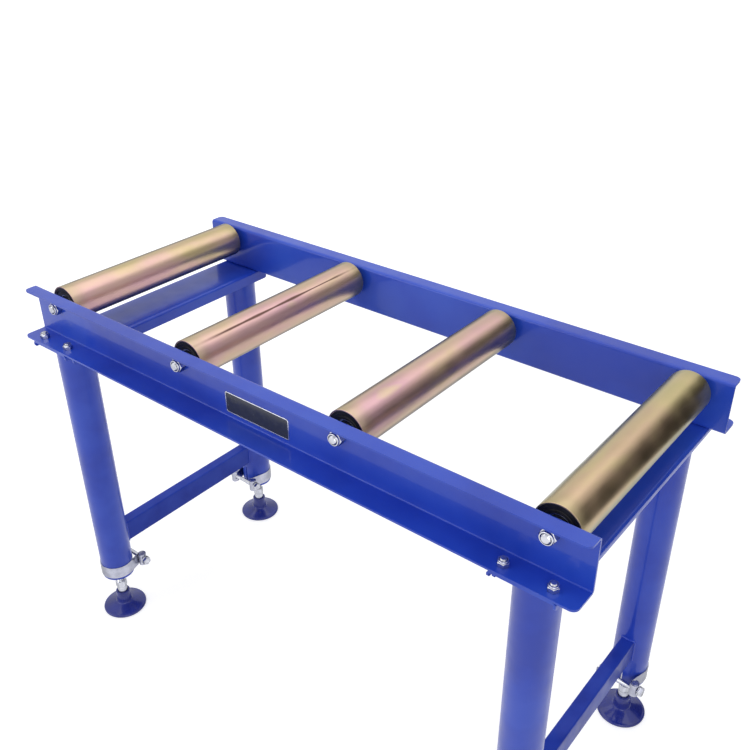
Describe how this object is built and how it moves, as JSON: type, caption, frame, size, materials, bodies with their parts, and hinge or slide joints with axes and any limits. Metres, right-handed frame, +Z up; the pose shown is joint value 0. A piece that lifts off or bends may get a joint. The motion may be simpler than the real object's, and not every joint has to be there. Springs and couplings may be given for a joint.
{
  "type": "roller stand",
  "caption": "Free-standing roller stand: free-turning steel rollers between folded rails, on telescopic legs with band clamps and levelling feet.",
  "frame": {"origin": "on the floor, under the middle of the stand", "axes": "+X along the rails, +Y across the rails away from the side in the picture, +Z up"},
  "size_m": [1, 0.458, 0.673],
  "materials": {
    "blue_paint": "gloss powder coat",
    "foot_paint": "gloss powder coat",
    "roller_passivate": "yellow zinc passivate",
    "cap_plastic": "satin moulding",
    "bearing_steel": "ground",
    "bright_zinc": "bright zinc plate",
    "clamp_zinc": "zinc plated strip",
    "inner_tube_zinc": "zinc plated tube"
  },
  "bodies": {
    "frame": {"rail_front": "blue_paint", "rail_back": "blue_paint", "cross_channel_left": "blue_paint", "cross_channel_right": "blue_paint", "lower_bar_left": "blue_paint", "lower_bar_right": "blue_paint", "leg_tube_fl": "blue_paint", "leg_tube_fr": "blue_paint", "leg_tube_bl": "blue_paint", "leg_tube_br": "blue_paint", "flange_bolts": "bright_zinc", "flange_nuts": "bright_zinc", "axle_1": "bright_zinc", "axle_2": "bright_zinc", "axle_3": "bright_zinc", "axle_4": "bright_zinc", "axle_nuts": "bright_zinc", "axle_spacers": "bright_zinc", "bearing_inner_rings": "bearing_steel", "clamp_band_fl": "clamp_zinc", "clamp_band_fr": "clamp_zinc", "clamp_band_bl": "clamp_zinc", "clamp_band_br": "clamp_zinc", "clamp_bolts": "bright_zinc", "clamp_trunnions": "clamp_zinc"},
    "roller_1": {"roller_tube_1": "roller_passivate", "roller_caps_1": "cap_plastic", "roller_bearings_1": "bearing_steel"},
    "roller_2": {"roller_tube_2": "roller_passivate", "roller_caps_2": "cap_plastic", "roller_bearings_2": "bearing_steel"},
    "roller_3": {"roller_tube_3": "roller_passivate", "roller_caps_3": "cap_plastic", "roller_bearings_3": "bearing_steel"},
    "roller_4": {"roller_tube_4": "roller_passivate", "roller_caps_4": "cap_plastic", "roller_bearings_4": "bearing_steel"},
    "leg_fl": {"inner_tube_fl": "inner_tube_zinc", "leg_plug_fl": "inner_tube_zinc"},
    "foot_fl": {"foot_pad_fl": "foot_paint"},
    "stud_fl": {"level_stud_fl": "bright_zinc"},
    "leg_fr": {"inner_tube_fr": "inner_tube_zinc", "leg_plug_fr": "inner_tube_zinc"},
    "foot_fr": {"foot_pad_fr": "foot_paint"},
    "stud_fr": {"level_stud_fr": "bright_zinc"},
    "leg_bl": {"inner_tube_bl": "inner_tube_zinc", "leg_plug_bl": "inner_tube_zinc"},
    "foot_bl": {"foot_pad_bl": "foot_paint"},
    "stud_bl": {"level_stud_bl": "bright_zinc"},
    "leg_br": {"inner_tube_br": "inner_tube_zinc", "leg_plug_br": "inner_tube_zinc"},
    "foot_br": {"foot_pad_br": "foot_paint"},
    "stud_br": {"level_stud_br": "bright_zinc"}
  },
  "joints": [
    {"name": "roller_1_spin", "type": "hinge", "parent": "frame", "child": "roller_1", "pos_m": [-0.445, 0, 0.643], "axis": [0, 1, 0], "continuous": true},
    {"name": "roller_2_spin", "type": "hinge", "parent": "frame", "child": "roller_2", "pos_m": [-0.14833, 0, 0.643], "axis": [0, 1, 0], "continuous": true},
    {"name": "roller_3_spin", "type": "hinge", "parent": "frame", "child": "roller_3", "pos_m": [0.14833, 0, 0.643], "axis": [0, 1, 0], "continuous": true},
    {"name": "roller_4_spin", "type": "hinge", "parent": "frame", "child": "roller_4", "pos_m": [0.445, 0, 0.643], "axis": [0, 1, 0], "continuous": true},
    {"name": "leg_fl_slide", "type": "slide", "parent": "frame", "child": "leg_fl", "axis": [0, 0, -1], "range_m": [0, 0.3]},
    {"name": "foot_fl_level", "type": "slide", "parent": "leg_fl", "child": "foot_fl", "axis": [0, 0, 1], "range_m": [-0.035, 0.023]},
    {"name": "stud_fl_turn", "type": "hinge", "parent": "foot_fl", "child": "stud_fl", "pos_m": [-0.434, -0.185, 0.1], "axis": [0, 0, 1], "range_deg": [-6301, 4141]},
    {"name": "leg_fr_slide", "type": "slide", "parent": "frame", "child": "leg_fr", "axis": [0, 0, -1], "range_m": [0, 0.3]},
    {"name": "foot_fr_level", "type": "slide", "parent": "leg_fr", "child": "foot_fr", "axis": [0, 0, 1], "range_m": [-0.035, 0.023]},
    {"name": "stud_fr_turn", "type": "hinge", "parent": "foot_fr", "child": "stud_fr", "pos_m": [0.434, -0.185, 0.1], "axis": [0, 0, 1], "range_deg": [-6301, 4141]},
    {"name": "leg_bl_slide", "type": "slide", "parent": "frame", "child": "leg_bl", "axis": [0, 0, -1], "range_m": [0, 0.3]},
    {"name": "foot_bl_level", "type": "slide", "parent": "leg_bl", "child": "foot_bl", "axis": [0, 0, 1], "range_m": [-0.035, 0.023]},
    {"name": "stud_bl_turn", "type": "hinge", "parent": "foot_bl", "child": "stud_bl", "pos_m": [-0.434, 0.185, 0.1], "axis": [0, 0, 1], "range_deg": [-6301, 4141]},
    {"name": "leg_br_slide", "type": "slide", "parent": "frame", "child": "leg_br", "axis": [0, 0, -1], "range_m": [0, 0.3]},
    {"name": "foot_br_level", "type": "slide", "parent": "leg_br", "child": "foot_br", "axis": [0, 0, 1], "range_m": [-0.035, 0.023]},
    {"name": "stud_br_turn", "type": "hinge", "parent": "foot_br", "child": "stud_br", "pos_m": [0.434, 0.185, 0.1], "axis": [0, 0, 1], "range_deg": [-6301, 4141]}
  ],
  "couplings": [
    {"joint": "stud_fl_turn", "follows": "foot_fl_level", "rad_per_m": 3141.6},
    {"joint": "stud_fr_turn", "follows": "foot_fr_level", "rad_per_m": 3141.6},
    {"joint": "stud_bl_turn", "follows": "foot_bl_level", "rad_per_m": 3141.6},
    {"joint": "stud_br_turn", "follows": "foot_br_level", "rad_per_m": 3141.6}
  ]
}
